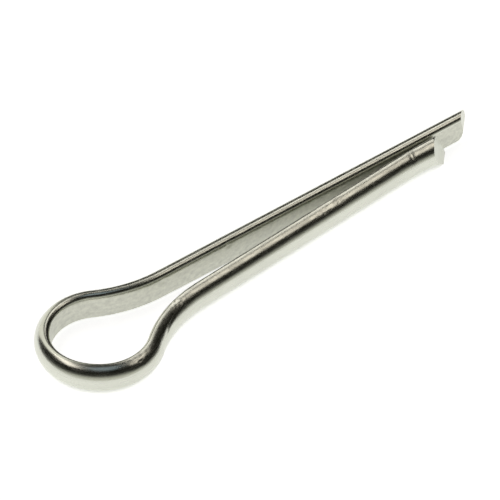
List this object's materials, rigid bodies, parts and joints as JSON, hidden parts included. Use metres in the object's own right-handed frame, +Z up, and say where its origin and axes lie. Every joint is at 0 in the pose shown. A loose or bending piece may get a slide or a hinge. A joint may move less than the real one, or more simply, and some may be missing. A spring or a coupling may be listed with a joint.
{
  "type": "cotter pin",
  "caption": "Half-round steel wire folded into a round eye with closing legs, pushed through a cross hole and spread to lock a pin, stud or slotted nut.",
  "frame": {"origin": "middle of the box's underside, on the surface the pin lies on", "axes": "+X along the legs from the eye to the tips, +Y across the eye towards the long leg, +Z up"},
  "size_m": [0.0616, 0.0144, 0.0036],
  "materials": {
    "bright_steel": "bright plated wire, glossy on the round side and satin on the flat"
  },
  "bodies": {
    "root": {"cotter_pin": "bright_steel"}
  },
  "joints": []
}
